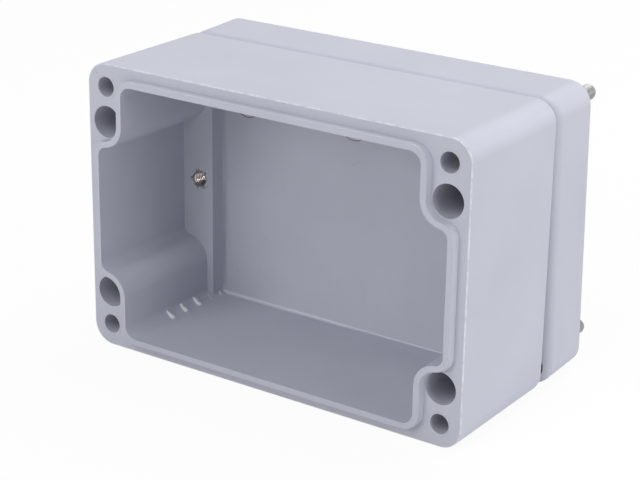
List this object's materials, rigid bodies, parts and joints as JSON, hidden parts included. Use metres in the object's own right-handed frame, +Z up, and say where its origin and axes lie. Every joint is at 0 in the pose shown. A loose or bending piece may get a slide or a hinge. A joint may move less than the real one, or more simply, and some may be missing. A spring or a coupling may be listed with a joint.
{
  "type": "electronics enclosure",
  "caption": "Small moulded enclosure with a deep base, a lid that leans behind it with captive corner screws, wall screw wells and threaded inserts in two inner ledges.",
  "frame": {"origin": "centre of the base's flat lower side, midway between its mouth and its back", "axes": "+X along the width, +Y from the base's mouth towards the lid behind it, +Z up"},
  "size_m": [0.11, 0.0713, 0.0755],
  "materials": {
    "moulding": "silver-grey glass fibre reinforced moulding, half matt, with faint flow marks and specks",
    "gasket": "black rubber",
    "screw_steel": "bare steel thread, slightly dull",
    "nylon": "natural polyamide",
    "insert_brass": "nickel-flashed brass, worn warm at the thread"
  },
  "bodies": {
    "enclosure": {"base": "moulding", "lid": "moulding", "gasket": "gasket", "lid_insert_upper_left": "insert_brass", "lid_insert_upper_right": "insert_brass", "lid_insert_lower_left": "insert_brass", "lid_insert_lower_right": "insert_brass", "ledge_insert_left": "insert_brass", "ledge_insert_right": "insert_brass"},
    "washer_upper_left": {"retaining_washer_upper_left": "nylon"},
    "screw_upper_left": {"lid_screw_upper_left": "screw_steel"},
    "washer_upper_right": {"retaining_washer_upper_right": "nylon"},
    "screw_upper_right": {"lid_screw_upper_right": "screw_steel"},
    "washer_lower_left": {"retaining_washer_lower_left": "nylon"},
    "screw_lower_left": {"lid_screw_lower_left": "screw_steel"},
    "washer_lower_right": {"retaining_washer_lower_right": "nylon"},
    "screw_lower_right": {"lid_screw_lower_right": "screw_steel"}
  },
  "joints": [
    {"name": "screw_upper_left_slide", "type": "slide", "parent": "enclosure", "child": "washer_upper_left", "axis": [0, 0.9991, 0.0419], "range_m": [-0.0042, 0]},
    {"name": "screw_upper_left_turn", "type": "hinge", "parent": "washer_upper_left", "child": "screw_upper_left", "pos_m": [-0.04925, 0.03663, 0.06968], "axis": [0, 0.9991, 0.0419], "continuous": true},
    {"name": "screw_upper_right_slide", "type": "slide", "parent": "enclosure", "child": "washer_upper_right", "axis": [0, 0.9991, 0.0419], "range_m": [-0.0042, 0]},
    {"name": "screw_upper_right_turn", "type": "hinge", "parent": "washer_upper_right", "child": "screw_upper_right", "pos_m": [0.04925, 0.03663, 0.06968], "axis": [0, 0.9991, 0.0419], "continuous": true},
    {"name": "screw_lower_left_slide", "type": "slide", "parent": "enclosure", "child": "washer_lower_left", "axis": [0, 0.9991, 0.0419], "range_m": [-0.0042, 0]},
    {"name": "screw_lower_left_turn", "type": "hinge", "parent": "washer_lower_left", "child": "screw_lower_left", "pos_m": [-0.04925, 0.03928, 0.00643], "axis": [0, 0.9991, 0.0419], "continuous": true},
    {"name": "screw_lower_right_slide", "type": "slide", "parent": "enclosure", "child": "washer_lower_right", "axis": [0, 0.9991, 0.0419], "range_m": [-0.0042, 0]},
    {"name": "screw_lower_right_turn", "type": "hinge", "parent": "washer_lower_right", "child": "screw_lower_right", "pos_m": [0.04925, 0.03928, 0.00643], "axis": [0, 0.9991, 0.0419], "continuous": true}
  ]
}
